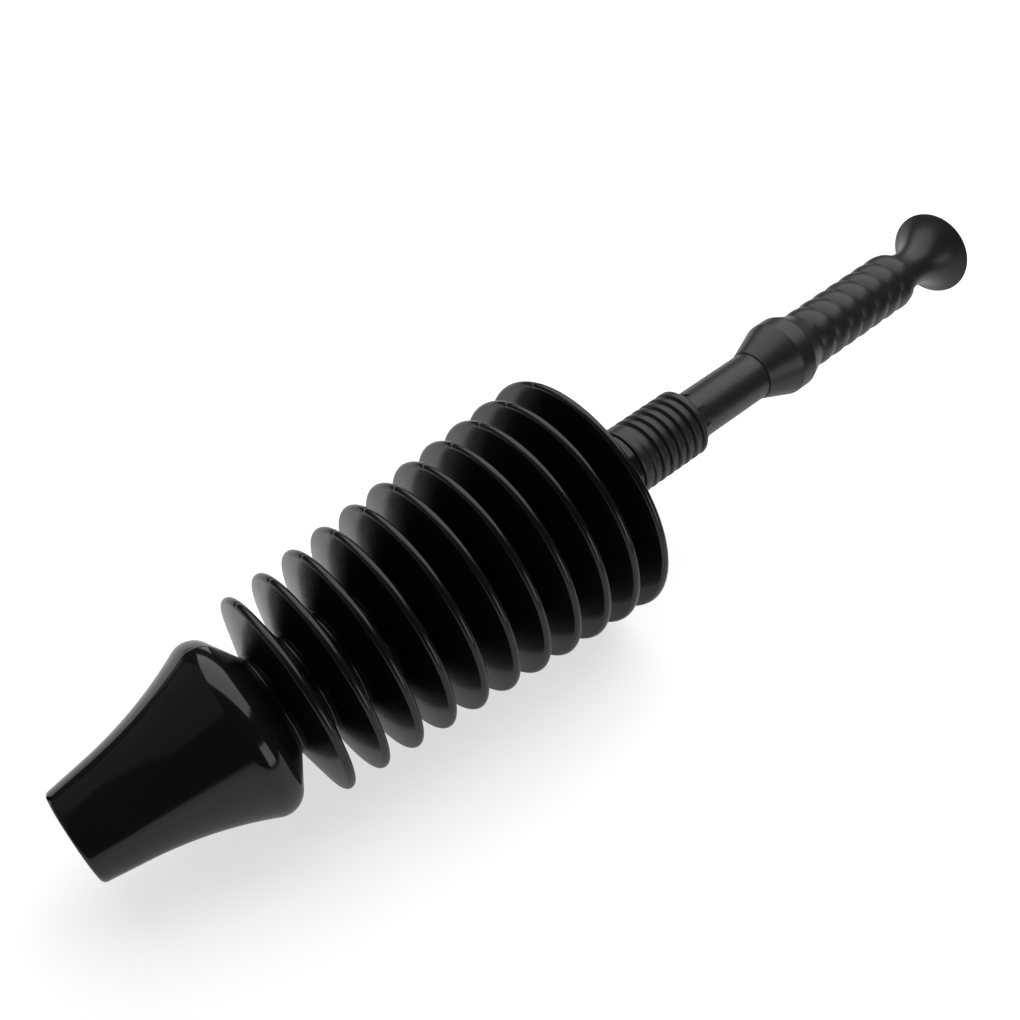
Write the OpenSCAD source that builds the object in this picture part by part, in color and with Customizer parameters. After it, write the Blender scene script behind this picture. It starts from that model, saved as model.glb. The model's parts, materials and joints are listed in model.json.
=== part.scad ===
// Bellows toilet plunger, lying on its side.
// A blow-moulded bellows with a tapered nozzle hangs on a coarse-threaded handle.
// Every piece is turned about one long axis. Stations are measured along that
// axis from the middle of the first disc, and grow towards the handle.

/* [Bellows] */
// Distance from one disc to the next
disc_pitch = 18.5; // [16:0.5:23]
// Radius of the disc beside the nozzle
first_disc_r = 54.2; // [46:0.2:62]
// Radius of the disc beside the handle
last_disc_r = 70.2; // [62.4:0.2:84]
// Radius at the bottom of the grooves between discs
root_r = 27.5; // [24:0.5:33]
// Radius of the rounded rim of each disc
rim_round = 2.3; // [1.9:0.1:2.8]
// Radius of the rounded groove bottom
root_round = 1.2; // [0.8:0.1:1.6]
// Wall of the bellows moulding
bellows_wall = 1.5; // [1.2:0.1:1.8]

/* [Nozzle] */
// Outside radius of the open mouth
mouth_r = 23.4; // [20:0.2:28]
// Length of the straight taper behind the mouth
lip_len = 19.7; // [12:0.5:26]
// Slope of that straight taper, in degrees
lip_slope = 9.5; // [5:0.5:14]
// Radius of the long hollow sweep from taper to shoulder
sweep_r = 185; // [150:5:230]
// Slope of the sweep where the shoulder starts, in degrees
sweep_slope = 28; // [24:1:32]
// Radius of the round shoulder
shoulder_round = 11; // [8:0.5:13]
// Slope of the flank behind the shoulder, in degrees
flank_slope = 58; // [50:1:64]
// Radius of the roll that turns the lip in at the mouth
mouth_round = 2.4; // [2:0.1:3]

/* [Neck] */
// Outside radius of the neck that takes the handle
neck_r = 19.3; // [18.4:0.1:21]
// Length of the straight neck
neck_len = 16.7; // [12:0.1:20]
// Wall of the neck
neck_wall = 2.1; // [1.6:0.1:2.4]
// Slope of the shoulder below the neck, in degrees
top_slope = 50; // [40:1:60]
// Radius of both bends of that shoulder
top_round = 2.5; // [2:0.1:3.5]

/* [Thread] */
// Radius over the crests of the coarse thread
thread_r = 20.6; // [20.2:0.1:22.5]
// Rise of the thread in one turn
thread_pitch = 6.4; // [5.5:0.1:7]
// Depth of the thread groove
thread_depth = 1.9; // [1:0.1:2]
// Width of the groove at the crests
groove_mouth = 3.3; // [2.2:0.1:3.4]
// Width of the groove at its bottom
groove_floor = 1.5; // [0.8:0.1:1.6]
// Number of turns of the groove
thread_turns = 6.5; // [4:0.5:8]
// Plain band before the groove starts
band_len = 5.2; // [4:0.1:9]
// Plain collar after the groove ends
collar_len = 3.5; // [2.5:0.1:9]
// Radius of the collar's flat face
collar_face_r = 18.8; // [17.8:0.1:19.6]
// Length of the spigot inside the neck
spigot_len = 16.0; // [12:0.2:20]
// Radial clearance between spigot and neck
spigot_fit = 0.1; // [0.05:0.01:0.1]
// Play between the band and the neck's end
seat_gap = 0.2; // [0.1:0.05:0.4]

/* [Handle] */
// Radius of the straight shaft
shaft_r = 14.9; // [13.5:0.1:16]
// Length of shaft that shows between collar and grip
shaft_len = 57; // [40:1:90]
// Wall of the shaft
shaft_wall = 2.2; // [1.8:0.1:3]
// Depth that the shaft reaches into the grip
socket_len = 62; // [40:1:75]
// Radial clearance of the shaft in the grip
socket_fit = 0.05; // [0.02:0.01:0.1]
// Number of gussets between collar and shaft
gusset_count = 8; // [4:1:12]
// Length of a gusset along the shaft
gusset_len = 7.4; // [5:0.2:12]
// Thickness of a gusset
gusset_t = 1.3; // [1:0.1:2]

/* [Grip] */
// Radius where the grip meets the shaft
grip_step_r = 15.5; // [15.4:0.1:16.4]
// Largest radius, on the hand stop
stop_r = 23.4; // [21.5:0.1:27]
// Length of the cone in front of the hand stop
stop_front_len = 21; // [14:0.5:30]
// Length of the band around the hand stop
stop_band_len = 10; // [5:0.5:14]
// Length of the cone behind the hand stop
stop_back_len = 14.5; // [10:0.5:20]
// Number of finger ribs
rib_count = 7; // [5:1:9]
// Distance from one rib to the next
rib_pitch = 12.7; // [10.5:0.1:15]
// Radius in the valleys between the ribs
valley_r = 17.4; // [17.2:0.1:18.4]
// Height of a rib above the valleys
rib_rise = 1.3; // [0.8:0.1:2.2]
// Smallest radius, in the waist behind the ribs
waist_r = 12.5; // [11.5:0.1:14]
// Radius of the hollow sweep from ribs to flare
flare_sweep_r = 29.3; // [27:0.1:33]
// Slope at the end of the flare, in degrees
flare_slope = 58; // [48:1:66]
// Length of the plain rim after the flare
flare_rim_len = 1.6; // [1:0.1:3]
// Wall of the grip
grip_wall = 2.4; // [2:0.1:2.4]
// Thickness of the web that closes the flare
web_t = 3; // [2:0.1:5]

/* [Hidden] */
$fn = 96;

disc_count = 11;
gloss_black = "#0d0d0e";
satin_black = "#1d1d1f";

// Steps of each bend, in degrees
bend_step = 8;
// Steps of the long nozzle sweep and of the flare, in degrees
sweep_step = 2.5;
flare_step = 6;
// Steps along one finger rib
rib_steps = 8;
// Steps of the thread in one turn, and the turn over which the groove fades out
thread_steps = 36;
thread_fade = 0.3;
// How far cutters reach past what they cut
past = 0.6;

// Stations along the axis
half_pitch = disc_pitch / 2;
bellows_end = (disc_count - 1) * disc_pitch + half_pitch;
rim_centre_first = first_disc_r - rim_round;
rim_centre_last = last_disc_r - rim_round;

// Tilt of the axis when all the rims lie on the floor
tilt = atan2(rim_centre_last - rim_centre_first, (disc_count - 1) * disc_pitch);
// Height of the axis over the floor at the first disc
axis_height = rim_round + rim_centre_first * cos(tilt);

// A point on an outline is [station, radius, lean], where lean is the angle of
// the outward normal from square to the axis, positive towards the handle.
function normal(lean) = [sin(lean), cos(lean)];
function outer_point(p) = [p[1], p[0]];
function inner_point(p, wall) = [p[1] - wall * cos(p[2]), p[0] - wall * sin(p[2])];

// Points of a bend round centre c: bulging out when r > 0, hollow when r < 0
function bend(c, r, from, to, step) =
  let (n = max(1, ceil(abs(to - from) / step)))
  [for (i = [0:n])
    let (a = from + (to - from) * i / n)
    [c[0] + r * sin(a), c[1] + r * cos(a), a]];

function reversed(list) = [for (i = [len(list) - 1:-1:0]) list[i]];

// Closed outline of a shell that follows the points at the wall thickness
function shell_outline(points, wall) =
  concat([for (p = points) outer_point(p)],
         reversed([for (p = points) inner_point(p, wall)]));

// Radius of disc k, counted from 0 beside the nozzle
function disc_r(k) = first_disc_r + (last_disc_r - first_disc_r) * k / (disc_count - 1);

// Lean of a disc's flank, which touches the rim bend and the groove bend
function flank_lean(rim_r) =
  let (rise = (rim_r - rim_round) - (root_r + root_round))
  let (reach = norm([half_pitch, rise]))
  90 - (acos((rim_round + root_round) / reach) - atan2(rise, half_pitch));

// Half of a disc, from the top of its rim to the groove towards the handle
function half_disc(rim_r) =
  let (lean = flank_lean(rim_r))
  concat(bend([0, rim_r - rim_round], rim_round, 0, lean, bend_step),
         bend([half_pitch, root_r + root_round], -root_round, lean, 0, bend_step));

function mirrored(points) = [for (p = points) [-p[0], p[1], -p[2]]];

function disc_points(rim_r) =
  let (half = half_disc(rim_r))
  concat(reversed(mirrored(half)), [for (i = [1:len(half) - 1]) half[i]]);

// Nozzle, with stations from its mouth
sweep_start = [lip_len, mouth_r + lip_len * tan(lip_slope)];
sweep_centre = sweep_start + sweep_r * normal(-lip_slope);
sweep_end = sweep_centre - sweep_r * normal(-sweep_slope);
shoulder_centre = sweep_end - shoulder_round * normal(-sweep_slope);
shoulder_end = shoulder_centre + shoulder_round * normal(flank_slope);
root_bend_r = root_r + root_round;
flank_end_r = root_bend_r - root_round * cos(flank_slope);
flank_end = shoulder_end[0] + (shoulder_end[1] - flank_end_r) / tan(flank_slope);
nozzle_len = flank_end + root_round * sin(flank_slope);
nozzle_start = -half_pitch - nozzle_len;

// The roll at the mouth runs from the taper to the cut edge
mouth_lean = 70;
roll_station = mouth_round * sin(mouth_lean);
roll_start = roll_station - mouth_round * sin(lip_slope);
roll_r = mouth_r + roll_start * tan(lip_slope) - mouth_round * cos(lip_slope);
mouth_edge_r = roll_r + mouth_round * cos(mouth_lean);

nozzle_points = concat(
  bend([roll_station, roll_r], mouth_round, -mouth_lean, -lip_slope, bend_step),
  bend(sweep_centre, -sweep_r, -lip_slope, -sweep_slope, sweep_step),
  bend(shoulder_centre, shoulder_round, -sweep_slope, flank_slope, bend_step),
  bend([nozzle_len, root_bend_r], -root_round, flank_slope, 0, bend_step));

// Shoulder between the last groove and the neck, with stations from the groove
top_drop = root_r - neck_r;
top_flank_drop = top_drop - 2 * top_round * (1 - cos(top_slope));
top_len = 2 * top_round * sin(top_slope) + top_flank_drop / tan(top_slope);
top_points = concat(
  bend([0, root_r - top_round], top_round, 0, top_slope, bend_step),
  bend([top_len, neck_r + top_round], -top_round, top_slope, 0, bend_step));

// Clearance where the neck is cut from the shoulder, so that the two turn freely
neck_gap = 0.05;
neck_start = bellows_end + top_len + neck_gap;
neck_end = neck_start + neck_len;
neck_bore_r = neck_r - neck_wall;

// Stem, with stations along the whole axis
band_start = neck_end + seat_gap;
spigot_r = neck_bore_r - spigot_fit;
spigot_start = band_start - spigot_len;
spigot_chamfer = 1.5;
groove_start = band_start + band_len;
collar_start = groove_start + thread_turns * thread_pitch;
collar_end = collar_start + collar_len;
collar_taper = collar_len * 0.6;
band_chamfer = 0.8;
grip_start = collar_end + shaft_len;
stem_end = grip_start + socket_len;
stem_bore_r = shaft_r - shaft_wall;
stem_floor = spigot_start + shaft_wall;
// The groove starts on the upper left, seen from the nozzle
groove_turn = 198;
gusset_turn = 209.6;
gusset_tip = 0.35;

// Grip
socket_r = shaft_r + socket_fit;
stop_start = grip_start + stop_front_len;
stop_end = stop_start + stop_band_len;
rib_start = stop_end + stop_back_len;
rib_end = rib_start + rib_count * rib_pitch;
socket_end = stem_end + socket_fit;
flare_centre_r = waist_r + flare_sweep_r;
waist_run = sqrt(pow(flare_sweep_r, 2) - pow(flare_centre_r - valley_r, 2));
waist = rib_end + waist_run;
waist_lean = asin(waist_run / flare_sweep_r);
stop_edge = 1.2;
flare_points = bend([waist, flare_centre_r], -flare_sweep_r, waist_lean, -flare_slope, flare_step);
flare_rim = flare_points[len(flare_points) - 1];
flare_edge_r = flare_rim[1] + flare_rim_len * 0.5;
grip_end = flare_rim[0] + flare_rim_len;
// The flat end of the rim lies between the flare and its hollow side
dish_sweep_r = flare_sweep_r + grip_wall;
flare_face_r = flare_centre_r - sqrt(pow(dish_sweep_r, 2) - pow(grip_end - waist, 2));
grip_core_r = socket_r - 1.5;
waist_core_r = waist_r - grip_wall;
core_taper_start = rib_end - rib_pitch;
rib_arc_r = (pow(rib_pitch / 2, 2) + pow(rib_rise, 2)) / (2 * rib_rise);

// Where the axis starts, so that the origin lies under the middle of the plunger
low_x = nozzle_start * cos(tilt) - mouth_edge_r * sin(tilt);
high_x = grip_end * cos(tilt) + flare_rim[1] * sin(tilt);
axis_x = -(low_x + high_x) / 2;

// Sets a piece turned about Z onto the plunger's axis, at a station
module on_axis(station = 0) {
  translate([axis_x, 0, axis_height])
    rotate([0, 90 - tilt, 0])
      translate([0, 0, station])
        children();
}

module turned(outline) {
  rotate_extrude()
    polygon(outline);
}

// One disc of the bellows, k counted from 0 beside the nozzle
module convolution(k) {
  color(gloss_black)
    on_axis(k * disc_pitch)
      turned(shell_outline(disc_points(disc_r(k)), bellows_wall));
}

// Tapered nozzle, open at its mouth, closing in to the first groove
module nozzle() {
  color(gloss_black)
    on_axis(nozzle_start)
      turned(shell_outline(nozzle_points, bellows_wall));
}

// Shoulder that closes the last disc in to the neck
module top_shoulder() {
  color(gloss_black)
    on_axis(bellows_end)
      turned(shell_outline(top_points, bellows_wall));
}

// Straight neck round the handle's spigot
module neck_ring() {
  color(gloss_black)
    on_axis(neck_start)
      difference() {
        cylinder(r = neck_r, h = neck_len);
        translate([0, 0, -past])
          cylinder(r = neck_bore_r, h = neck_len + 2 * past);
      }
}

// Helical groove about Z, right-handed, starting on the X axis at height 0
module helical_groove(r, depth, mouth, floor_w, rise, turns) {
  n = round(turns * thread_steps);
  fade = thread_fade * thread_steps;
  reach = (mouth - floor_w) / 2 / depth;
  rings = [for (i = [0:n])
    let (d = depth * max(0.04, min(1, i / fade, (n - i) / fade)))
    let (a = 360 * i / thread_steps)
    let (z = rise * i / thread_steps)
    let (w = floor_w / 2)
    [for (p = [[past, w + (d + past) * reach], [past, -w - (d + past) * reach], [-d, -w], [-d, w]])
      [(r + p[0]) * cos(a), (r + p[0]) * sin(a), z + p[1]]]];
  points = [for (ring = rings) for (p = ring) p];
  last = 4 * n;
  sides = [for (i = [0:n - 1]) for (j = [0:3])
    let (k = (j + 1) % 4)
    each [[4 * i + 4 + k, 4 * i + k, 4 * i + j], [4 * i + 4 + j, 4 * i + 4 + k, 4 * i + j]]];
  caps = [[0, 1, 2], [0, 2, 3], [last + 2, last + 1, last], [last + 3, last + 2, last]];
  polyhedron(points, concat(sides, caps), convexity = 10);
}

// Thin triangular fin that braces the shaft against the collar's face
module gusset() {
  translate([0, gusset_t / 2, 0])
    rotate([90, 0, 0])
      linear_extrude(gusset_t)
        polygon([[shaft_r - shaft_wall / 2, -past],
                 [collar_face_r - gusset_tip, -past],
                 [collar_face_r - gusset_tip, 0],
                 [shaft_r + gusset_tip / 2, gusset_len],
                 [shaft_r - shaft_wall / 2, gusset_len]]);
}

// Handle stem: closed spigot, threaded sleeve, collar, gussets and shaft in one
module stem() {
  color(satin_black)
    on_axis()
      difference() {
        union() {
          turned([[0, spigot_start],
                  [spigot_r - spigot_chamfer, spigot_start],
                  [spigot_r, spigot_start + spigot_chamfer],
                  [spigot_r, band_start],
                  [thread_r - band_chamfer, band_start],
                  [thread_r, band_start + band_chamfer],
                  [thread_r, collar_end - collar_taper],
                  [collar_face_r, collar_end],
                  [shaft_r, collar_end],
                  [shaft_r, stem_end],
                  [0, stem_end]]);
          for (i = [0:gusset_count - 1])
            rotate([0, 0, gusset_turn + i * 360 / gusset_count])
              translate([0, 0, collar_end])
                gusset();
        }
        translate([0, 0, stem_floor])
          cylinder(r = stem_bore_r, h = stem_end - stem_floor + past);
        translate([0, 0, groove_start])
          rotate([0, 0, groove_turn])
            helical_groove(thread_r, thread_depth, groove_mouth, groove_floor,
                           thread_pitch, thread_turns);
      }
}

// Outline of one finger rib: an arc standing on the valleys
function rib_points(start) =
  let (half = asin(rib_pitch / 2 / rib_arc_r))
  [for (i = [0:rib_steps - 1])
    let (a = -half + 2 * half * i / rib_steps)
    [valley_r + rib_rise - rib_arc_r * (1 - cos(a)), start + rib_pitch / 2 + rib_arc_r * sin(a)]];

// Grip: hand stop, finger ribs, waist and flared end, pushed over the shaft
module grip() {
  outside = concat(
    [[grip_step_r, grip_start],
     [stop_r - stop_edge / 2, stop_start - stop_edge],
     [stop_r, stop_start],
     [stop_r, stop_end - stop_edge],
     [stop_r - stop_edge / 2, stop_end]],
    [for (i = [0:rib_count - 1]) for (p = rib_points(rib_start + i * rib_pitch)) p],
    [for (p = flare_points) outer_point(p)],
    [[flare_edge_r, grip_end - flare_rim_len / 2],
     [flare_rim[1], grip_end],
     [flare_face_r, grip_end]]);
  dish = [for (p = flare_points)
    let (q = inner_point(p, grip_wall))
    if (p[0] > waist + web_t && q[1] < grip_end - past) q];
  color(satin_black)
    on_axis()
      difference() {
        turned(concat(outside, reversed(dish), [[0, dish[0][1]], [0, grip_start]]));
        translate([0, 0, grip_start - past])
          cylinder(r = socket_r, h = socket_end - grip_start + past);
        turned([[0, socket_end - past],
                [grip_core_r, socket_end - past],
                [grip_core_r, core_taper_start],
                [waist_core_r, waist - web_t],
                [0, waist - web_t]]);
      }
}

nozzle();
convolution(0);  // convolution_01
convolution(1);  // convolution_02
convolution(2);  // convolution_03
convolution(3);  // convolution_04
convolution(4);  // convolution_05
convolution(5);  // convolution_06
convolution(6);  // convolution_07
convolution(7);  // convolution_08
convolution(8);  // convolution_09
convolution(9);  // convolution_10
convolution(10);  // convolution_11
top_shoulder();
neck_ring();
stem();
grip();
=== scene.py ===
"""A bellows toilet plunger lying on a pale floor: its looks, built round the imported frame.

Each moulding of the plunger is a class that holds its sizes in metres and knows how to
build and dress its own meshes. Stations are measured along the plunger's axis from the
middle of the first disc and grow towards the handle. Turns are measured round the axis
from straight down, and grow by the right-hand rule about it.
"""

from __future__ import annotations

import json
import logging
import math
from dataclasses import dataclass, field
from enum import Enum
from typing import Callable, Iterable, Sequence

import bmesh
import bpy
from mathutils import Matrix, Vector


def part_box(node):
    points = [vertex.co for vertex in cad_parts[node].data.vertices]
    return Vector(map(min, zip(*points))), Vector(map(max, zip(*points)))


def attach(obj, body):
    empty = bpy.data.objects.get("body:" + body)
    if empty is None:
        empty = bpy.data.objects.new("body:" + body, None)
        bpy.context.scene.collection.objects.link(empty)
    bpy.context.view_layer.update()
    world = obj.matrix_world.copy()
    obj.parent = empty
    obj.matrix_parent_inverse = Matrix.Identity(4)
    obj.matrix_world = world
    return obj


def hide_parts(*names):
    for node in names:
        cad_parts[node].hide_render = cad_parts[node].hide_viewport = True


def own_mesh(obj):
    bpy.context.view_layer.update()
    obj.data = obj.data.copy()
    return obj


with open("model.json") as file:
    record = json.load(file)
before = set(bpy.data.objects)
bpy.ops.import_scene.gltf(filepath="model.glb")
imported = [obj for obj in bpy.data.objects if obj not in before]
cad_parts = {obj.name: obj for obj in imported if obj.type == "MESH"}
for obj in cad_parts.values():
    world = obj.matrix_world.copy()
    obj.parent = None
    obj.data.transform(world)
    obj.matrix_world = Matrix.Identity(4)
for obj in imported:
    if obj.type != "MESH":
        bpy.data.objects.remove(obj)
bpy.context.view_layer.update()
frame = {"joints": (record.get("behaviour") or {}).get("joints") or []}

LOG = logging.getLogger("plunger")
MM = 0.001
SKIN = 0.03 * MM
HOLD = 0.12 * MM
DISC_COUNT = 11
STROKE_JOINT = "bellows_stroke"
SCREW_JOINT = "bellows_unscrew"


class Slot(Enum):
    """Material slots of the record."""

    BELLOWS = "bellows_black"
    HANDLE = "handle_black"
    GRIP = "grip_black"


class PartingLine(Enum):
    """Turns, in degrees, at which the two halves of the mould met."""

    UPPER = 156.0
    LOWER = 336.0


# ---------------------------------------------------------------------------
# The long axis
# ---------------------------------------------------------------------------


@dataclass(frozen=True)
class Axis:
    """The plunger's long axis: where the first disc's middle is, and which way it runs."""

    origin: Vector
    along: Vector

    @classmethod
    def from_frame(cls) -> "Axis":
        """Reads the axis from the joint that carries the stroke.

        Returns:
            The axis, with its origin at the middle of the first disc.
        """
        along, pivot = None, None
        for joint in frame["joints"]:
            if joint["name"] == STROKE_JOINT:
                along = Vector(joint["axis"]).normalized()
            if joint["name"] == SCREW_JOINT:
                pivot = Vector(joint["pos_m"])
        low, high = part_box("convolution_01")
        middle = (Vector(low) + Vector(high)) / 2
        station = (middle - pivot).dot(along)
        return cls(pivot + along * station, along)

    @property
    def down(self) -> Vector:
        """The direction square to the axis that points most nearly at the floor."""
        return Vector((self.along.z, 0.0, -self.along.x))

    def point(self, station: float, radius: float, turn: float) -> Vector:
        """Finds a point near the axis.

        Args:
            station: distance along the axis, in metres.
            radius: distance from the axis, in metres.
            turn: angle round the axis from straight down, in radians.

        Returns:
            The point in the frame of the part.
        """
        side = Vector((0.0, 1.0, 0.0))
        out = self.down * math.cos(turn) + side * math.sin(turn)
        return self.origin + self.along * station + out * radius

    def station_of(self, place: Sequence[float]) -> float:
        """Gives the station of a point of the frame."""
        return (Vector(place) - self.origin).dot(self.along)


AXIS = Axis.from_frame()


# ---------------------------------------------------------------------------
# Outlines: lists of (station, radius) that are turned about the axis
# ---------------------------------------------------------------------------

Outline = list[tuple[float, float]]
Relief = Callable[[float, float, float], float]


@dataclass
class Pen:
    """Draws an outline whose points keep their outward lean, so a wall can follow it."""

    points: list[tuple[float, float, float]] = field(default_factory=list)

    def bend(self, centre: tuple[float, float], radius: float, start: float, stop: float,
             step: float = 6.0) -> "Pen":
        """Adds an arc.

        Args:
            centre: station and radius of the arc's centre.
            radius: radius of the arc, negative for a hollow bend.
            start: lean of the outward normal where the arc starts, in degrees.
            stop: lean where it ends, in degrees.
            step: largest turn between two points, in degrees.

        Returns:
            The same pen.
        """
        count = max(1, math.ceil(abs(stop - start) / step))
        for i in range(count + 1):
            lean = math.radians(start + (stop - start) * i / count)
            self.add(centre[0] + radius * math.sin(lean),
                     centre[1] + radius * math.cos(lean), lean)
        return self

    def line(self, station: float, radius: float, lean: float, pieces: int = 1) -> "Pen":
        """Adds a straight stretch to a point.

        Args:
            station: station of the stretch's end.
            radius: radius at the stretch's end.
            lean: lean of its outward normal, in degrees.
            pieces: number of equal pieces that it is split into.

        Returns:
            The same pen.
        """
        first = self.points[-1] if self.points else (station, radius, 0.0)
        length = math.hypot(station - first[0], radius - first[1])
        shares = [i / pieces for i in range(1, pieces + 1)]
        if length > 6 * HOLD:
            shares = sorted([HOLD / length, *shares, 1 - HOLD / length])
        for share in shares:
            self.add(first[0] + (station - first[0]) * share,
                     first[1] + (radius - first[1]) * share, math.radians(lean))
        return self

    def add(self, station: float, radius: float, lean: float) -> None:
        """Adds a point, unless it repeats the last one."""
        if self.points:
            last = self.points[-1]
            if math.hypot(last[0] - station, last[1] - radius) < 1e-6:
                return
        self.points.append((station, radius, lean))

    def outer(self) -> Outline:
        """The outline itself."""
        return [(s, r) for s, r, _ in self.points]

    def inner(self, wall: float) -> Outline:
        """The outline moved in by the wall's thickness, in reverse order."""
        return [(s - wall * math.sin(a), r - wall * math.cos(a))
                for s, r, a in reversed(self.points)]

    def mirrored(self) -> list[tuple[float, float, float]]:
        """The points mirrored about station 0, in reverse order."""
        return [(-s, r, -a) for s, r, a in reversed(self.points)]


def turns_with_seams(count: int, seam_half: float, seams: Iterable[float]) -> list[float]:
    """Spreads turns evenly and adds close ones beside each parting line.

    Args:
        count: number of even turns.
        seam_half: half of the width that a line takes, in radians.
        seams: turns of the lines, in radians.

    Returns:
        The turns in growing order, in radians.
    """
    step = 2 * math.pi / count
    turns = [i * step for i in range(count)]
    for seam in seams:
        near = [seam + seam_half * k for k in (-2.0, -1.0, -0.4, 0.0, 0.4, 1.0, 2.0)]
        turns = [t for t in turns
                 if abs(math.remainder(t - seam, 2 * math.pi)) > 2.4 * seam_half]
        turns += [t % (2 * math.pi) for t in near]
    return sorted(turns)


def lathe(name: str, outline: Outline, turns: Sequence[float], closed: bool = True,
          relief: Relief | None = None, start: float = 0.0) -> bpy.types.Object:
    """Turns an outline about the plunger's axis.

    Args:
        name: name of the new object.
        outline: stations and radii. A closed outline runs outside first, towards the handle.
        turns: turns of the outline's copies, in radians, in growing order.
        closed: whether the outline's last point joins its first.
        relief: extra radius at a station, radius and turn.
        start: station that is added to the whole outline.

    Returns:
        The new object, with smooth faces.
    """
    mesh = bmesh.new()
    rings = []
    for turn in turns:
        ring = []
        for station, radius in outline:
            lift = relief(station, radius, turn) if relief else 0.0
            height = max(radius + lift - SKIN * (radius > SKIN), 0.0)
            ring.append(mesh.verts.new(AXIS.point(start + station, height, turn)))
        rings.append(ring)
    size = len(outline)
    spans = size if closed else size - 1
    for i, ring in enumerate(rings):
        after = rings[(i + 1) % len(rings)]
        for j in range(spans):
            k = (j + 1) % size
            mesh.faces.new((ring[j], ring[k], after[k], after[j]))
    bmesh.ops.remove_doubles(mesh, verts=mesh.verts, dist=1e-7)
    bmesh.ops.dissolve_degenerate(mesh, dist=1e-8, edges=mesh.edges)
    bmesh.ops.recalc_face_normals(mesh, faces=mesh.faces)
    return finish_mesh(name, mesh)


def finish_mesh(name: str, mesh: bmesh.types.BMesh) -> bpy.types.Object:
    """Turns a bmesh into a smooth object in the scene.

    Args:
        name: name of the new object.
        mesh: the bmesh, which is freed.

    Returns:
        The new object.
    """
    data = bpy.data.meshes.new(name)
    mesh.to_mesh(data)
    mesh.free()
    data.shade_smooth()
    data.set_sharp_from_angle(angle=math.radians(34))
    piece = bpy.data.objects.new(name, data)
    bpy.context.scene.collection.objects.link(piece)
    return piece


def seam_bump(turn: float, height: float, half: float) -> float:
    """Height of the fine ridge that a parting line leaves.

    Args:
        turn: turn of the point, in radians.
        height: height of the ridge, in metres.
        half: half of the ridge's width, in radians.

    Returns:
        The height at that turn, in metres.
    """
    best = min(abs(math.remainder(turn - math.radians(line.value), 2 * math.pi))
               for line in PartingLine)
    return height * max(0.0, 1.0 - best / half)


def plate(name: str, shape: Outline, turn: float, thick: float) -> bpy.types.Object:
    """Builds a flat plate that stands out from the axis, with its edges eased.

    Args:
        name: name of the new object.
        shape: stations and radii of the plate's corners.
        turn: the plate's turn round the axis, in radians.
        thick: the plate's thickness, in metres.

    Returns:
        The new object.
    """
    mesh = bmesh.new()
    across = (AXIS.point(0, 1, turn + math.pi / 2) - AXIS.point(0, 0, turn)) * thick / 2
    sides = [[mesh.verts.new(AXIS.point(s, r, turn) + across * way) for s, r in shape]
             for way in (-1, 1)]
    mesh.faces.new(sides[0])
    mesh.faces.new(list(reversed(sides[1])))
    for i in range(len(shape)):
        k = (i + 1) % len(shape)
        mesh.faces.new((sides[0][k], sides[0][i], sides[1][i], sides[1][k]))
    bmesh.ops.recalc_face_normals(mesh, faces=mesh.faces)
    bmesh.ops.bevel(mesh, geom=list(mesh.edges), offset=thick / 8, segments=2, affect="EDGES",
                    profile=0.5)
    return finish_mesh(name, mesh)


def button(name: str, station: float, radius: float, turn: float, half: float,
           height: float) -> bpy.types.Object:
    """Builds a low dome on a turned surface.

    Args:
        name: name of the new object.
        station: station of its middle, in metres.
        radius: radius of the surface there, in metres.
        turn: its turn round the axis, in radians.
        half: half of its width, in metres.
        height: how far it stands out, in metres.

    Returns:
        The new object.
    """
    mesh = bmesh.new()
    bmesh.ops.create_uvsphere(mesh, u_segments=32, v_segments=12, radius=1.0)
    foot = AXIS.point(station, radius, turn)
    out = AXIS.point(station, radius + 1.0, turn) - foot
    side = out.cross(AXIS.along)
    for corner in mesh.verts:
        x, y, z = corner.co
        corner.co = foot + AXIS.along * (x * half) + side * (y * half) + out * (z * height)
    bmesh.ops.recalc_face_normals(mesh, faces=mesh.faces)
    return finish_mesh(name, mesh)


def joined(pieces: Sequence[bpy.types.Object], name: str) -> bpy.types.Object:
    """Joins objects into one.

    Args:
        pieces: the objects, all at the frame's origin.
        name: name of the result.

    Returns:
        The joined object.
    """
    mesh = bmesh.new()
    for piece in pieces:
        mesh.from_mesh(piece.data)
        data = piece.data
        bpy.data.objects.remove(piece)
        bpy.data.meshes.remove(data)
    return finish_mesh(name, mesh)


# ---------------------------------------------------------------------------
# Shader maths
# ---------------------------------------------------------------------------


class Signal:
    """Wraps a value socket, so that expressions on it add Math nodes."""

    def __init__(self, paint: "Paint", socket: bpy.types.NodeSocket) -> None:
        """Keeps the socket and the paint it belongs to."""
        self.paint = paint
        self.socket = socket

    def _maths(self, operation: str, first: object, second: object) -> "Signal":
        """Adds a Math node with two inputs."""
        return self.paint.node("ShaderNodeMath", {"operation": operation}, {0: first, 1: second})

    def __add__(self, other: object) -> "Signal":
        """Sum."""
        return self._maths("ADD", self, other)

    def __radd__(self, other: object) -> "Signal":
        """Sum, from the right."""
        return self._maths("ADD", other, self)

    def __sub__(self, other: object) -> "Signal":
        """Difference."""
        return self._maths("SUBTRACT", self, other)

    def __rsub__(self, other: object) -> "Signal":
        """Difference, from the right."""
        return self._maths("SUBTRACT", other, self)

    def __mul__(self, other: object) -> "Signal":
        """Product."""
        return self._maths("MULTIPLY", self, other)

    def __rmul__(self, other: object) -> "Signal":
        """Product, from the right."""
        return self._maths("MULTIPLY", other, self)


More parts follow.
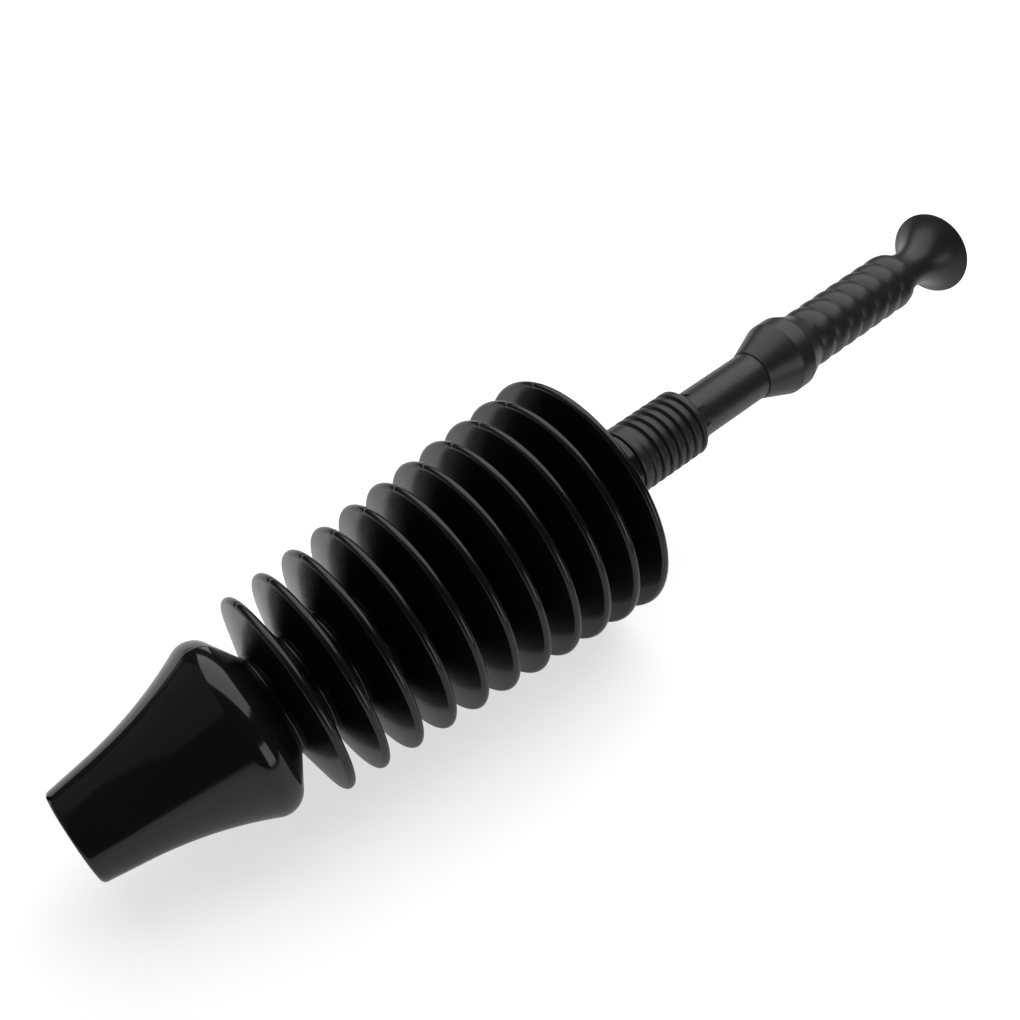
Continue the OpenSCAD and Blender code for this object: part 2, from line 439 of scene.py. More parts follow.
class Paint:
    """One material and the nodes that make it."""

    def __init__(self, name: str) -> None:
        """Starts a material with a bare Principled shader.

        Args:
            name: the material's name.
        """
        self.material = bpy.data.materials.new(name)
        self.material.use_nodes = True
        self.tree = self.material.node_tree
        self.tree.nodes.clear()
        self.shader = self.tree.nodes.new("ShaderNodeBsdfPrincipled")
        output = self.tree.nodes.new("ShaderNodeOutputMaterial")
        self.tree.links.new(self.shader.outputs["BSDF"], output.inputs["Surface"])

    def node(self, kind: str, settings: dict[str, object], inputs: dict[object, object],
             output: int | str = 0) -> Signal:
        """Adds any node.

        Args:
            kind: the node's type.
            settings: properties that are set first. A ramp's stops go under "stops".
            inputs: values or signals for the sockets, by index or name.
            output: index or name of the output that is wanted.

        Returns:
            The wanted output.
        """
        node = self.tree.nodes.new(kind)
        for key, value in settings.items():
            if key == "stops":
                self._stops(node, value)
            else:
                setattr(node, key, value)
        for key, value in inputs.items():
            self._feed(node.inputs[key], value)
        return Signal(self, node.outputs[output])

    def _stops(self, node: bpy.types.Node, stops: Sequence[tuple[float, float]]) -> None:
        """Sets the stops of a colour ramp to greys.

        Args:
            node: the ramp's node.
            stops: pairs of a place and a grey, both from 0 to 1.
        """
        ramp = node.color_ramp
        while len(ramp.elements) > len(stops):
            ramp.elements.remove(ramp.elements[-1])
        while len(ramp.elements) < len(stops):
            ramp.elements.new(1.0)
        for element, (place, grey) in zip(ramp.elements, stops):
            element.position = place
            element.color = (grey, grey, grey, 1.0)

    def _feed(self, socket: bpy.types.NodeSocket, value: object) -> None:
        """Links a signal to a socket, or sets the socket's value."""
        if isinstance(value, Signal):
            self.tree.links.new(value.socket, socket)
        else:
            socket.default_value = value

    def place(self) -> Signal:
        """The point being shaded, in the frame of the part."""
        return self.node("ShaderNodeTexCoord", {}, {}, "Object")

    def noise(self, scale: float, detail: float = 2.0, roughness: float = 0.5,
              stretch: tuple[float, float, float] = (1.0, 1.0, 1.0)) -> Signal:
        """Adds noise in the part's own space.

        Args:
            scale: cells per metre.
            detail: octaves.
            roughness: weight of the finer octaves.
            stretch: factors on the three directions.

        Returns:
            The noise, near 0.5 on average.
        """
        place = self.node("ShaderNodeMapping", {}, {"Vector": self.place(), "Scale": stretch})
        return self.node("ShaderNodeTexNoise", {},
                         {"Vector": place, "Scale": scale, "Detail": detail,
                          "Roughness": roughness})

    def ramp(self, value: Signal, stops: Sequence[tuple[float, float]]) -> Signal:
        """Maps a value through grey stops."""
        return self.node("ShaderNodeValToRGB", {"stops": stops}, {"Fac": value})

    def mix(self, share: object, first: tuple[float, ...], second: tuple[float, ...]) -> Signal:
        """Mixes two colours by a share."""
        return self.node("ShaderNodeMix", {"data_type": "RGBA"},
                         {0: share, 6: first, 7: second}, 2)

    def bump(self, height: Signal, strength: float, distance: float) -> Signal:
        """Turns a height into a normal.

        Args:
            height: the height, from 0 to 1.
            strength: share of the bump that shows.
            distance: height of a full step, in metres.

        Returns:
            The bent normal.
        """
        return self.node("ShaderNodeBump", {},
                         {"Strength": strength, "Distance": distance, "Height": height})

    def set(self, **values: object) -> None:
        """Sets or links sockets of the shader, with _ for a space."""
        for key, value in values.items():
            self._feed(self.shader.inputs[key.replace("_", " ")], value)


# ---------------------------------------------------------------------------
# Finishes
# ---------------------------------------------------------------------------


@dataclass(frozen=True)
class BlownGloss:
    """Glossy black polyethylene, as it comes from a blow mould."""

    name: str = "blown_gloss_black"
    dark: tuple[float, ...] = (0.006, 0.006, 0.0062, 1.0)
    light: tuple[float, ...] = (0.011, 0.011, 0.0115, 1.0)
    gloss: float = 0.21
    gloss_swing: float = 0.10
    ripple_scale: float = 55.0
    ripple_height: float = 0.00022

    def build(self) -> bpy.types.Material:
        """Builds the material: slow ripples, a fine skin, cloudy gloss and dusty scuffs.

        Returns:
            The material.
        """
        paint = Paint(self.name)
        clouds = paint.noise(38.0, detail=3.0)
        skin = paint.noise(1500.0, detail=2.0)
        ripples = paint.noise(self.ripple_scale, detail=1.5, roughness=0.4)
        specks = paint.ramp(paint.noise(900.0, detail=3.0, roughness=0.7),
                            [(0.0, 0.0), (0.66, 0.0), (0.74, 1.0)])
        patches = paint.ramp(paint.noise(60.0, detail=4.0, roughness=0.65),
                             [(0.0, 0.0), (0.52, 0.0), (0.70, 1.0)])
        scuff = specks * patches
        height = ripples + skin * 0.02
        paint.set(
            Base_Color=paint.mix(clouds * 0.8 + scuff * 0.6, self.dark, self.light),
            Roughness=self.gloss + (clouds - 0.5) * self.gloss_swing + scuff * 0.12,
            IOR=1.5,
            Normal=paint.bump(height, 0.35, self.ripple_height),
        )
        return paint.material


@dataclass(frozen=True)
class MouldedSatin:
    """Satin black polypropylene from a spark-eroded mould."""

    name: str
    dark: tuple[float, ...] = (0.020, 0.020, 0.0215, 1.0)
    light: tuple[float, ...] = (0.030, 0.030, 0.032, 1.0)
    satin: float = 0.36
    grain_scale: float = 1900.0
    grain_height: float = 0.00006

    def build(self) -> bpy.types.Material:
        """Builds the material: a fine eroded grain, soft flow clouds and faint rub marks.

        Returns:
            The material.
        """
        paint = Paint(self.name)
        clouds = paint.noise(30.0, detail=3.0, stretch=(0.35, 1.0, 1.0))
        grain = paint.noise(self.grain_scale, detail=2.0, roughness=0.6)
        rubs = paint.ramp(paint.noise(220.0, detail=4.0, roughness=0.6, stretch=(0.15, 1.0, 1.0)),
                          [(0.0, 0.0), (0.60, 0.0), (0.72, 1.0)])
        sink = paint.noise(24.0, detail=1.0, stretch=(0.5, 1.0, 1.0))
        paint.set(
            Base_Color=paint.mix(clouds * 0.7 + grain * 0.3, self.dark, self.light),
            Roughness=self.satin + (clouds - 0.5) * 0.10 + (grain - 0.5) * 0.08 - rubs * 0.05,
            IOR=1.49,
            Normal=paint.bump(grain + sink * 2.0, 0.5, self.grain_height),
        )
        return paint.material


# ---------------------------------------------------------------------------
# The bellows moulding
# ---------------------------------------------------------------------------


@dataclass
class Bellows:
    """The blow-moulded bellows: a nozzle, discs that grow towards the handle, and a neck."""

    finish: bpy.types.Material
    nozzle_finish: bpy.types.Material
    wall: float = 1.5 * MM
    rim_round: float = 2.3 * MM
    root_radius: float = 27.5 * MM
    root_round: float = 1.2 * MM
    lip_slope: float = 9.5
    lip_len: float = 19.7 * MM
    mouth_radius: float = 23.4 * MM
    mouth_round: float = 2.4 * MM
    mouth_lean: float = 70.0
    sweep_radius: float = 185.0 * MM
    sweep_slope: float = 28.0
    shoulder_round: float = 11.0 * MM
    flank_slope: float = 58.0
    top_slope: float = 50.0
    top_round: float = 2.5 * MM
    neck_wall: float = 2.1 * MM
    neck_edge: float = 0.4 * MM
    seam_height: float = 0.16 * MM
    seam_width: float = 0.7 * MM
    nick_depth: float = 0.4 * MM
    nick_width: float = 2.0 * MM
    flash_rise: float = 1.7 * MM
    flash_thick: float = 0.7 * MM
    hair: float = 0.0006
    turns: int = 192

    def __post_init__(self) -> None:
        """Works out the stations from the frame's joints and nodes."""
        self.pitch = self._disc_station(DISC_COUNT) / (DISC_COUNT - 1)
        self.neck_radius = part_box("neck_ring")[1][1]

    @staticmethod
    def _disc_station(number: int) -> float:
        """Station of a disc's middle, by its number from 1."""
        low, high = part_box(f"convolution_{number:02d}")
        return AXIS.station_of((Vector(low) + Vector(high)) / 2)

    def _seam_turns(self, radius: float, width: float) -> tuple[list[float], float]:
        """Spreads the turns of a piece round its parting lines.

        Args:
            radius: radius at which the lines have their width, in metres.
            width: width of the lines, in metres.

        Returns:
            The turns and the half angle of the lines, in radians.
        """
        half = width / 2 / radius
        seams = [math.radians(line.value) for line in PartingLine]
        return turns_with_seams(self.turns, half, seams), half

    def _dress(self, piece: bpy.types.Object, body: str, node: str) -> bpy.types.Object:
        """Gives a piece its finish and its body, and hides the CAD node that it stands for.

        Args:
            piece: the piece.
            body: the body that it rides.
            node: the CAD node that it stands for.

        Returns:
            The same piece.
        """
        piece.data.materials.append(self.nozzle_finish if node == "nozzle" else self.finish)
        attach(piece, body)
        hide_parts(node)
        LOG.info("%s rides %s: %d faces", piece.name, body, len(piece.data.polygons))
        return piece

    def disc_outline(self, rim: float) -> Outline:
        """Outline of one disc's shell.

        Args:
            rim: radius of the disc.

        Returns:
            The closed outline, with its middle at station 0.
        """
        rise = (rim - self.rim_round) - (self.root_radius + self.root_round)
        half_pitch = self.pitch / 2
        reach = math.hypot(half_pitch, rise)
        spare = math.degrees(math.acos((self.rim_round + self.root_round) / reach))
        lean = 90 - (spare - math.degrees(math.atan2(rise, half_pitch)))
        pen = Pen().bend((0.0, rim - self.rim_round), self.rim_round, 0.0, lean)
        root_centre = (half_pitch, self.root_radius + self.root_round)
        foot = (root_centre[0] - self.root_round * math.sin(math.radians(lean)),
                root_centre[1] - self.root_round * math.cos(math.radians(lean)))
        pen.line(foot[0], foot[1], lean, pieces=6)
        pen.bend(root_centre, -self.root_round, lean, 0.0)
        whole = Pen(pen.mirrored() + pen.points[1:])
        return whole.outer() + whole.inner(self.wall)

    def build_disc(self, number: int) -> bpy.types.Object:
        """Builds one disc.

        Args:
            number: the disc's number from 1, beside the nozzle.

        Returns:
            The disc.
        """
        node = f"convolution_{number:02d}"
        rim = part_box(node)[1][1]
        station = self.pitch * (number - 1)
        turns, half = self._seam_turns(rim, self.nick_width)

        def relief(place: float, radius: float, turn: float) -> float:
            """Sinks a nick into the rim where the parting line crosses it."""
            on_rim = max(0.0, 1.0 - (rim - radius) / self.rim_round)
            return -seam_bump(turn, self.nick_depth * on_rim, half)

        piece = lathe(f"disc_{number:02d}", self.disc_outline(rim), turns, relief=relief,
                      start=station)
        self._dress(piece, f"disc_{number:02d}", node)
        step = self._step()
        tuple(AXIS.point(station, 0.0, 0.0))
        1 - step / self.pitch - self.hair
        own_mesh(piece)
        return piece

    @staticmethod
    def _step() -> float:
        """How much nearer two discs come over the whole stroke."""
        for joint in frame["joints"]:
            if joint["name"] == STROKE_JOINT:
                return 2 * joint["range_m"][1]
        raise ValueError("the frame has no stroke")

    def build_nozzle(self) -> bpy.types.Object:
        """Builds the tapered nozzle with its cut mouth.

        Returns:
            The nozzle.
        """
        slope = math.radians(self.lip_slope)
        lip_radius = self.mouth_radius + self.lip_len * math.tan(slope)
        sweep = (self.lip_len - self.sweep_radius * math.sin(slope),
                 lip_radius + self.sweep_radius * math.cos(slope))
        roll = self.mouth_round * math.sin(math.radians(self.mouth_lean))
        begin = roll - self.mouth_round * math.sin(slope)
        corner = (roll, self.mouth_radius + begin * math.tan(slope)
                  - self.mouth_round * math.cos(slope))
        pen = Pen().bend(corner, self.mouth_round, -self.mouth_lean, -self.lip_slope, step=7.0)
        pen.line(self.lip_len, lip_radius, -self.lip_slope, pieces=6)
        pen.bend(sweep, -self.sweep_radius, -self.lip_slope, -self.sweep_slope, step=1.0)
        end = pen.points[-1]
        centre = (end[0] + self.shoulder_round * math.sin(math.radians(self.sweep_slope)),
                  end[1] - self.shoulder_round * math.cos(math.radians(self.sweep_slope)))
        pen.bend(centre, self.shoulder_round, -self.sweep_slope, self.flank_slope, step=4.0)
        lean = math.radians(self.flank_slope)
        root_centre_r = self.root_radius + self.root_round
        foot_r = root_centre_r - self.root_round * math.cos(lean)
        last = pen.points[-1]
        foot = last[0] + (last[1] - foot_r) / math.tan(lean)
        pen.line(foot, foot_r, self.flank_slope, pieces=4)
        length = foot + self.root_round * math.sin(lean)
        pen.bend((length, root_centre_r), -self.root_round, self.flank_slope, 0.0)
        outline = pen.outer() + pen.inner(self.wall)
        turns, half = self._seam_turns(self.mouth_radius * 1.5, self.seam_width)
        limit = self.mouth_radius - self.wall * 0.5

        def relief(place: float, radius: float, turn: float) -> float:
            """Raises the parting line on the outside, and pinches it at the mouth."""
            outside = 1.0 if radius > limit + place * 0.05 else 0.0
            return seam_bump(turn, self.seam_height * outside, half)

        start = -self.pitch / 2 - length
        shell = lathe("nozzle_turned", outline, turns, relief=relief, start=start)
        piece = joined([shell, self.build_flash(start)], "nozzle_shell")
        return self._dress(piece, "nozzle", "nozzle")

    def build_flash(self, start: float) -> bpy.types.Object:
        """Builds the stub of flash that was left on the parting line beside the mouth.

        Args:
            start: station of the mouth.

        Returns:
            The stub.
        """
        root = self.mouth_radius - self.wall
        top = self.mouth_radius + self.flash_rise
        shape = [(start + 0.5 * MM, root), (start + 0.4 * MM, top - 0.4 * MM),
                 (start + 1.2 * MM, top), (start + 3.0 * MM, self.mouth_radius + 0.4 * MM),
                 (start + 3.4 * MM, root)]
        return plate("flash", shape, math.radians(PartingLine.UPPER.value), self.flash_thick)

    def build_top(self) -> list[bpy.types.Object]:
        """Builds the shoulder over the last disc and the neck above it.

        Returns:
            The shoulder and the neck.
        """
        start = self.pitch * (DISC_COUNT - 0.5)
        slope = math.radians(self.top_slope)
        bends = 2 * self.top_round
        drop = self.root_radius - self.neck_radius - bends * (1 - math.cos(slope))
        length = bends * math.sin(slope) + drop / math.tan(slope)
        pen = Pen().bend((0.0, self.root_radius - self.top_round), self.top_round,
                         0.0, self.top_slope)
        pen.bend((length, self.neck_radius + self.top_round), -self.top_round,
                 self.top_slope, 0.0)
        turns, half = self._seam_turns(self.root_radius, self.seam_width)

        def relief(place: float, radius: float, turn: float) -> float:
            """Raises the parting line on the outside."""
            return seam_bump(turn, self.seam_height * 0.6, half) * (radius > self.neck_radius - MM)

        shoulder = lathe("top_shoulder_shell", pen.outer() + pen.inner(self.wall), turns,
                         relief=relief, start=start)
        self._dress(shoulder, "shoulder", "top_shoulder")
        low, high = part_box("neck_ring")
        neck_start = (low[0] + self.neck_radius * AXIS.along.z - AXIS.origin.x) / AXIS.along.x
        neck_len = self._neck_length(low, high)
        bore = self.neck_radius - self.neck_wall
        edge = self.neck_edge
        outline = [(0.0, self.neck_radius), (neck_len - edge, self.neck_radius),
                   (neck_len, self.neck_radius - edge), (neck_len, bore + edge),
                   (neck_len - edge, bore), (0.0, bore)]
        plain = [2 * math.pi * i / self.turns for i in range(self.turns)]
        neck = lathe("neck_shell", outline, plain, start=neck_start)
        self._dress(neck, "neck", "neck_ring")
        return [shoulder, neck]

    def _neck_length(self, low: Sequence[float], high: Sequence[float]) -> float:
        """Length of the neck along the axis, from its node's box."""
        across = 2 * self.neck_radius * abs(AXIS.along.z)
        return (high[0] - low[0] - across) / AXIS.along.x

    def build(self) -> list[bpy.types.Object]:
        """Builds the whole bellows.

        Returns:
            Its pieces, from the nozzle to the neck.
        """
        discs = [self.build_disc(number) for number in range(1, DISC_COUNT + 1)]
        return [self.build_nozzle(), *discs, *self.build_top()]


# ---------------------------------------------------------------------------
# The stem
# ---------------------------------------------------------------------------


@dataclass
class Stem:
    """The handle's stem: spigot, coarse thread, collar with gussets, and shaft."""

    finish: bpy.types.Material
    thread_pitch: float = 6.4 * MM
    thread_depth: float = 1.9 * MM
    groove_mouth: float = 3.3 * MM
    groove_floor: float = 1.5 * MM
    thread_turns: float = 6.5
    thread_fade: float = 0.3
    crest_round: float = 0.35 * MM
    crest_bow: float = 0.22 * MM
    groove_turn: float = 198.0
    band_len: float = 5.2 * MM
    collar_len: float = 3.5 * MM
    collar_face: float = 18.8 * MM
    collar_edge: float = 0.4 * MM
    seat_gap: float = 0.2 * MM
    band_edge: float = 0.8 * MM
    shaft_fillet: float = 0.6 * MM
    ring_step: float = 0.2 * MM
    spigot_bevel: float = 1.5 * MM
    spigot_radius: float = 17.1 * MM
    shaft_radius: float = 14.9 * MM
    gusset_count: int = 8
    gusset_len: float = 7.4 * MM
    gusset_thick: float = 1.3 * MM
    gusset_turn: float = 209.6
    turns: int = 180

    def __post_init__(self) -> None:
        """Works out the stations from the frame's nodes."""
        self.thread_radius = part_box("stem")[1][1]
        low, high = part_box("stem")
        lean = AXIS.along.z
        end = AXIS.station_of((high[0] - self.shaft_radius * lean, 0.0,
                               high[2] - self.shaft_radius * AXIS.along.x))
        begin_x = low[0] + (self.spigot_radius - self.spigot_bevel) * lean
        self.begin = (begin_x - AXIS.origin.x) / AXIS.along.x
        self.end = end
        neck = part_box("neck_ring")[1]
        seat = (neck[0] - neck[1] * lean - AXIS.origin.x) / AXIS.along.x
        self.band_start = seat + self.seat_gap
        self.groove_start = self.band_start + self.band_len
        self.collar_start = self.groove_start + self.thread_turns * self.thread_pitch
        self.collar_end = self.collar_start + self.collar_len

    def groove_depth(self, station: float, turn: float) -> float:
        """Depth of the helical groove.

        Args:
            station: distance along the axis, in metres.
            turn: angle round the axis, in radians.

        Returns:
            The depth below the crests, in metres.
        """
        done = math.degrees(turn) - self.groove_turn
        deepest = 0.0
        for lap in range(-2, int(self.thread_turns) + 3):
            travelled = done / 360 + lap
            if not 0 <= travelled <= self.thread_turns:
                continue
            ease = min(1.0, travelled / self.thread_fade,
                       (self.thread_turns - travelled) / self.thread_fade)
            middle = self.groove_start + travelled * self.thread_pitch
            away = abs(station - middle)
            slope = (self.groove_mouth - self.groove_floor) / 2 / self.thread_depth
            depth = (self.groove_floor / 2 + self.thread_depth * ease * slope - away) / slope
            soft = self.crest_round * ease
            eased = (depth + math.sqrt(depth ** 2 + soft ** 2)) / 2
            bow = self.crest_bow * ease * max(0.0, 1 - away / (self.thread_pitch / 2)) ** 2
            deepest = max(deepest, min(self.thread_depth * ease, eased) + bow)
        return deepest

    def build_sleeve(self) -> bpy.types.Object:
        """Builds the stem's turned body with the thread cut into it.

        Returns:
            The turned body.
        """
        crest = self.thread_radius
        edge = self.band_edge
        fillet = self.shaft_fillet
        outline: Outline = [
            (self.begin, 0.0),
            (self.begin, self.spigot_radius - self.spigot_bevel),
            (self.begin + self.spigot_bevel, self.spigot_radius),
            (self.band_start, self.spigot_radius),
            (self.band_start, crest - edge),
            (self.band_start + edge * 0.3, crest - edge * 0.3),
            (self.band_start + edge, crest),
        ]
        first = self.groove_start - self.groove_mouth
        last = self.collar_end - self.collar_len * 0.6
        count = round((last - first) / self.ring_step)
        outline += [(first + (last - first) * i / count, crest) for i in range(count + 1)]
        outline += [
            (self.collar_end - self.collar_edge, self.collar_face + 0.25 * MM),
            (self.collar_end, self.collar_face - 0.3 * MM),
            (self.collar_end, self.shaft_radius + fillet),
            (self.collar_end + fillet * 0.3, self.shaft_radius + fillet * 0.3),
            (self.collar_end + fillet, self.shaft_radius),
            (self.end, self.shaft_radius),
            (self.end, 0.0),
        ]

        def relief(place: float, radius: float, turn: float) -> float:
            """Cuts the groove into the crests."""
            if radius < crest - 1e-7 or not first <= place <= last:
                return 0.0
            return -self.groove_depth(place, turn)

        turns = [2 * math.pi * i / self.turns for i in range(self.turns)]
        return lathe("stem_body", outline, turns, closed=False, relief=relief)

    def build_gusset(self, turn: float) -> bpy.types.Object:
        """Builds one fin between the collar's face and the shaft.

        Args:
            turn: the fin's turn round the axis, in radians.

        Returns:
            The fin.
        """
        root = self.shaft_radius - 0.6 * MM
        shape = [(self.collar_end - 0.3 * MM, root),
                 (self.collar_end - 0.3 * MM, self.collar_face - 0.5 * MM),
                 (self.collar_end + 0.5 * MM, self.collar_face - 0.55 * MM),
                 (self.collar_end + self.gusset_len, self.shaft_radius + 0.1 * MM),
                 (self.collar_end + self.gusset_len, root)]
        return plate("gusset", shape, turn, self.gusset_thick)

    def build(self) -> bpy.types.Object:
        """Builds the stem as one piece.

        Returns:
            The stem.
        """
        fins = [self.build_gusset(math.radians(self.gusset_turn + 360 / self.gusset_count * i))
                for i in range(self.gusset_count)]
        piece = joined([self.build_sleeve(), *fins], "stem_moulding")
        piece.data.materials.append(self.finish)
        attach(piece, "handle")
        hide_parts("stem")
        LOG.info("%s: %d faces", piece.name, len(piece.data.polygons))
        return piece


# ---------------------------------------------------------------------------
# The grip
# ---------------------------------------------------------------------------


@dataclass
class Grip:
    """The grip: hand stop, finger ribs, waist and flared end."""

    finish: bpy.types.Material
    step_radius: float = 15.5 * MM
    stop_radius: float = 23.4 * MM
    front_len: float = 21.0 * MM
    band_len: float = 10.0 * MM
    back_len: float = 14.5 * MM
    rib_count: int = 7
    rib_pitch: float = 12.7 * MM
    valley_radius: float = 17.4 * MM
    rib_rise: float = 1.3 * MM
    waist_radius: float = 12.5 * MM
    flare_sweep: float = 29.3 * MM
    flare_slope: float = 58.0
    rim_len: float = 1.6 * MM
    wall: float = 2.4 * MM
    web: float = 3.0 * MM
    knuckle: float = 2.2 * MM
    socket_radius: float = 14.95 * MM
    socket_edge: float = 0.05 * MM
    step_edge: float = 0.15 * MM
    gate_along: float = 1.3 * MM
    gate_turn: float = 208.0
    gate_slope: float = 0.25
    gate_half: float = 0.75 * MM
    gate_rise: float = 0.35 * MM
    turns: int = 160

    def __post_init__(self) -> None:
        """Works out where the grip starts from its node's box."""
        low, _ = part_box("grip")
        begin_x = low[0] + self.step_radius * AXIS.along.z
        self.start = (begin_x - AXIS.origin.x) / AXIS.along.x

    def build(self) -> bpy.types.Object:
        """Builds the grip.

        Returns:
            The grip.
        """
        pen = Pen()
        pen.add(0.0, self.step_radius - self.step_edge, 0.0)
        pen.add(self.step_edge, self.step_radius, 0.0)
        rise = self.stop_radius - self.step_radius
        slope = math.degrees(math.atan2(rise, self.front_len))
        back = math.degrees(math.atan2(self.stop_radius - self.valley_radius, self.back_len))
        knuckle = self.knuckle
        centre = self.stop_radius - knuckle
        front_at = self.front_len + knuckle * math.tan(math.radians(slope / 2))
        back_at = self.front_len + self.band_len - knuckle * math.tan(math.radians(back / 2))
        tip = (front_at - knuckle * math.sin(math.radians(slope)),
               centre + knuckle * math.cos(math.radians(slope)))
        pen.line(*tip, -slope, pieces=6)
        pen.bend((front_at, centre), knuckle, -slope, 0.0, step=5.0)
        pen.line(back_at, self.stop_radius, 0.0, pieces=3)
        pen.bend((back_at, centre), knuckle, 0.0, back, step=5.0)
        rib_start = self.front_len + self.band_len + self.back_len
        pen.line(rib_start, self.valley_radius, back, pieces=5)
        arc = (self.rib_pitch ** 2 / 4 + self.rib_rise ** 2) / (2 * self.rib_rise)
        half = math.degrees(math.asin(self.rib_pitch / 2 / arc))
        for rib in range(self.rib_count):
            middle = rib_start + (rib + 0.5) * self.rib_pitch
            pen.bend((middle, self.valley_radius + self.rib_rise - arc), arc, -half, half, step=4.0)
        rib_end = rib_start + self.rib_count * self.rib_pitch
        centre_radius = self.waist_radius + self.flare_sweep
        run = math.sqrt(self.flare_sweep ** 2 - (centre_radius - self.valley_radius) ** 2)
        waist = rib_end + run
        lean = math.degrees(math.asin(run / self.flare_sweep))
        pen.bend((waist, centre_radius), -self.flare_sweep, lean, -self.flare_slope, step=3.0)
        rim = pen.points[-1]
        outer = pen.outer()
        half_rim = self.rim_len / 2
        end = rim[0] + self.rim_len - SKIN
        sweep = self.flare_sweep + self.wall
        face = centre_radius - math.sqrt(sweep ** 2 - (end - waist) ** 2)
        outer += [(rim[0] + half_rim, rim[1] + half_rim),
                  (rim[0] + 1.5 * half_rim, rim[1] + 0.5 * half_rim),
                  (end, rim[1]), (end, face)]
        dish = [(s, r) for s, r in pen.inner(self.wall)
                if waist + self.web < s < end - MM / 2]
        inside = [*dish, (dish[-1][0], 0.0)]
        outline = [(0.0, self.socket_radius + self.socket_edge), *outer, *inside]
        turns = [2 * math.pi * i / self.turns for i in range(self.turns)]
        body = lathe("grip_turned", outline, turns, closed=False, start=self.start)
        gate = button("gate", self.start + rib_start + self.gate_along,
                      self.valley_radius + self.gate_along * self.gate_slope,
                      math.radians(self.gate_turn), self.gate_half, self.gate_rise)
        piece = joined([body, gate], "grip_moulding")
        piece.data.materials.append(self.finish)
        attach(piece, "handle")
        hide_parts("grip")
        LOG.info("%s: %d faces", piece.name, len(piece.data.polygons))
        return piece


# ---------------------------------------------------------------------------
# The studio
# ---------------------------------------------------------------------------


@dataclass(frozen=True)
class Softbox:
    """A flat light that faces a point."""

    name: str
    place: tuple[float, float, float]
    size: tuple[float, float]
    power: float
    aim: tuple[float, float, float] = (0.0, 0.0, 0.05)

    def build(self) -> bpy.types.Object:
        """Builds the light.

        Returns:
            The light's object.
        """
        data = bpy.data.lights.new(self.name, "AREA")
        data.shape = "RECTANGLE"
        data.size, data.size_y = self.size
        data.energy = self.power
        light = bpy.data.objects.new(self.name, data)
        light.location = self.place
        way = Vector(self.aim) - Vector(self.place)
        light.rotation_mode = "QUATERNION"
        light.rotation_quaternion = way.to_track_quat("-Z", "Y")
        bpy.context.scene.collection.objects.link(light)
        return light


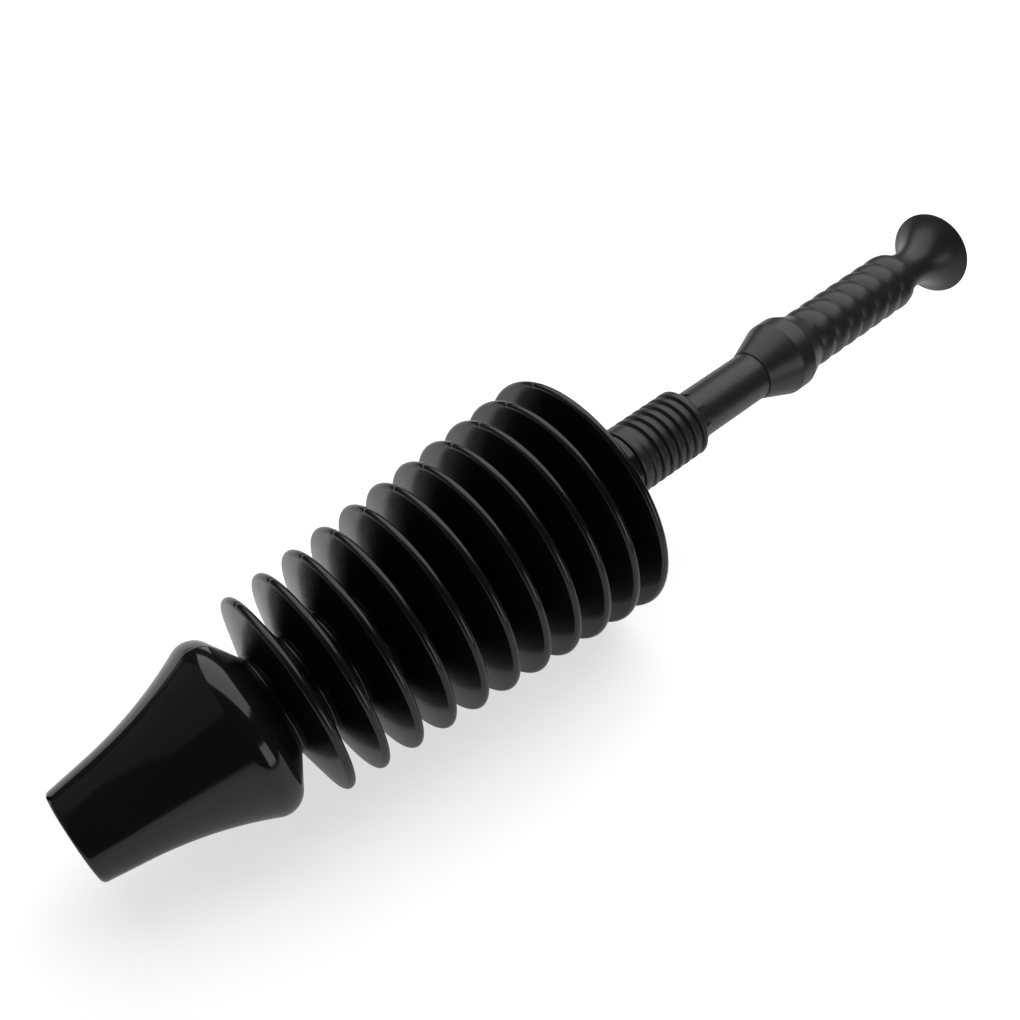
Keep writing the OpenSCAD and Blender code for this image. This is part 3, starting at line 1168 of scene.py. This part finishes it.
@dataclass
class Studio:
    """A white floor, soft lights and a camera that looks down from the left front."""

    azimuth: float = -40.02
    elevation: float = 44.56
    distance: float = 569.6 * MM
    aim: tuple[float, float, float] = (-49.2 * MM, 10.8 * MM, 74.8 * MM)
    lens: float = 37.85
    floor_size: float = 12.0
    floor_way: tuple[float, float, float] = (0.519, -0.855, 0.0)
    floor_fade: tuple[float, float] = (0.25, 0.52)
    floor_tone: float = 0.8
    floor_glow: float = 0.66
    floor_spill: float = 0.25
    room_light: float = 0.03
    room_tone: float = 0.8
    lights: tuple[Softbox, ...] = (
        Softbox("box_behind", (0.47, 0.45, 1.13), (2.4, 1.76), 20.5),
        Softbox("box_in_front", (0.08, -1.00, 0.25), (0.62, 0.48), 1.5),
        Softbox("bounce_left", (-1.25, 0.75, 0.80), (2.0, 1.5), 1.1),
    )

    def build_camera(self) -> bpy.types.Object:
        """Builds the camera.

        Returns:
            The camera's object.
        """
        turn, rise = math.radians(self.azimuth), math.radians(self.elevation)
        back = Vector((math.sin(turn) * math.cos(rise), -math.cos(turn) * math.cos(rise),
                       math.sin(rise)))
        data = bpy.data.cameras.new("camera")
        data.lens = self.lens
        data.sensor_width = 36.0
        data.clip_start, data.clip_end = 0.01, 100.0
        camera = bpy.data.objects.new("camera", data)
        camera.location = Vector(self.aim) + back * self.distance
        camera.rotation_mode = "QUATERNION"
        camera.rotation_quaternion = (-back).to_track_quat("-Z", "Y")
        bpy.context.scene.collection.objects.link(camera)
        bpy.context.scene.camera = camera
        return camera

    def build_floor(self) -> bpy.types.Object:
        """Builds the pale floor.

        Returns:
            The floor.
        """
        mesh = bmesh.new()
        bmesh.ops.create_grid(mesh, x_segments=1, y_segments=1, size=self.floor_size / 2)
        floor = finish_mesh("floor", mesh)
        paint = Paint("white_sweep")
        across = paint.node("ShaderNodeVectorMath", {"operation": "DOT_PRODUCT"},
                            {0: paint.place(), 1: self.floor_way}, "Value")
        near, far = self.floor_fade
        share = paint.node("ShaderNodeMapRange", {"interpolation_type": "SMOOTHSTEP"},
                           {"Value": across, "From Min": near, "From Max": far,
                            "To Min": 1.0, "To Max": 0.0})
        seen = paint.node("ShaderNodeLightPath", {}, {}, "Is Camera Ray")
        # Painted light: camera rays see an even glow that lightens the shadows cast on the floor;
        # other rays see a weaker glow, and the base colour darkens to black, further along
        # floor_way.
        glow = (1.0 - seen) * self.floor_spill * share + seen * self.floor_glow
        pale = (self.floor_tone,) * 3 + (1.0,)
        black, white = (0.0, 0.0, 0.0, 1.0), (1.0, 1.0, 1.0, 1.0)
        paint.set(Base_Color=paint.mix(share, black, pale), Roughness=0.9,
                  Emission_Strength=1.0, Emission_Color=paint.mix(glow, black, white))
        floor.data.materials.append(paint.material)
        return floor

    def build_sky(self) -> None:
        """Fills the room with a faint grey light, and shows its walls as pale as the floor."""
        world = bpy.data.worlds.new("room")
        bpy.context.scene.world = world
        world.use_nodes = True
        nodes, links = world.node_tree.nodes, world.node_tree.links
        background = nodes["Background"]
        background.inputs["Color"].default_value = (1.0, 1.0, 1.0, 1.0)
        strength = nodes.new("ShaderNodeMapRange")
        strength.inputs["To Min"].default_value = self.room_light
        strength.inputs["To Max"].default_value = self.room_tone
        links.new(nodes.new("ShaderNodeLightPath").outputs["Is Camera Ray"],
                  strength.inputs["Value"])
        links.new(strength.outputs["Result"], background.inputs["Strength"])

    def build(self) -> None:
        """Builds the camera, the floor, the room and the lights."""
        self.build_camera()
        self.build_floor()
        self.build_sky()
        for light in self.lights:
            light.build()
        bpy.context.scene.view_settings.view_transform = "Standard"


def main() -> None:
    """Builds the studio, then each moulding in order."""
    logging.basicConfig(level=logging.INFO, format="%(name)s: %(message)s")
    Studio().build()
    polished = BlownGloss("blown_gloss_nozzle", gloss=0.13, gloss_swing=0.05)
    Bellows(BlownGloss().build(), polished.build()).build()
    Stem(MouldedSatin("moulded_satin_stem").build()).build()
    Grip(MouldedSatin("moulded_satin_grip").build()).build()


if __name__ == "__main__":
    main()
